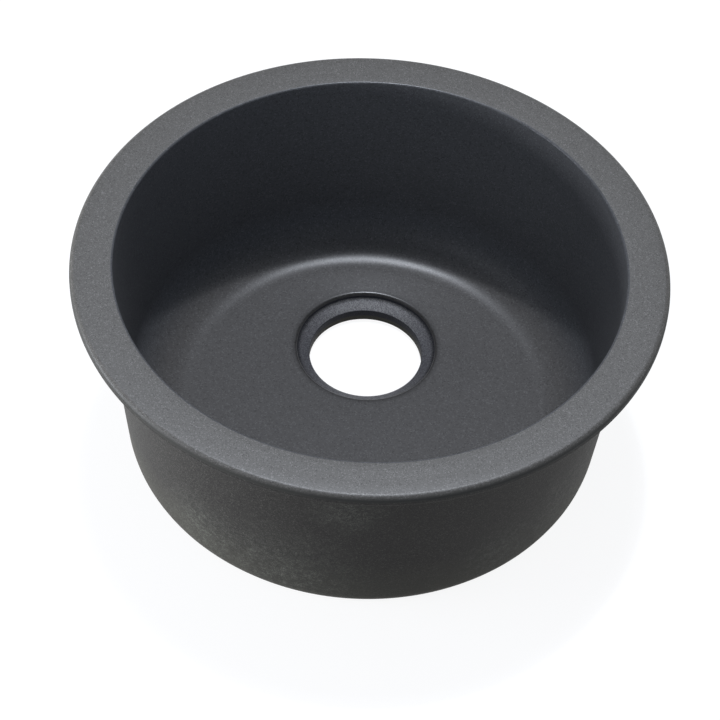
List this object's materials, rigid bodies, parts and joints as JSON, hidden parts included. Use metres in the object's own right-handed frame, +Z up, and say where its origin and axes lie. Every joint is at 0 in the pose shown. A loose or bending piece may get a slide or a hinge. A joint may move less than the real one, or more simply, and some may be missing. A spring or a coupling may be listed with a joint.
{
  "type": "bar sink",
  "caption": "Round composite bar sink with a flat rim, a rear-set drain hole with a stepped seat, and clip inserts under the rim.",
  "frame": {"origin": "middle of the foot's underside, on the surface that the sink stands on, under the centre of the round rim", "axes": "+Z up out of the bowl's mouth, +Y towards the rear, the side that the drain is set back to, +X to the right as seen from the front"},
  "size_m": [0.432, 0.4318, 0.178],
  "materials": {
    "quartz_composite": "matt, fine grained, cast",
    "insert_brass": "drawn six-sided bar, plain"
  },
  "bodies": {
    "root": {"sink_body": "quartz_composite", "clip_insert_1": "insert_brass", "clip_insert_2": "insert_brass", "clip_insert_3": "insert_brass", "clip_insert_4": "insert_brass", "clip_insert_5": "insert_brass", "clip_insert_6": "insert_brass", "clip_insert_7": "insert_brass", "clip_insert_8": "insert_brass"}
  },
  "joints": []
}
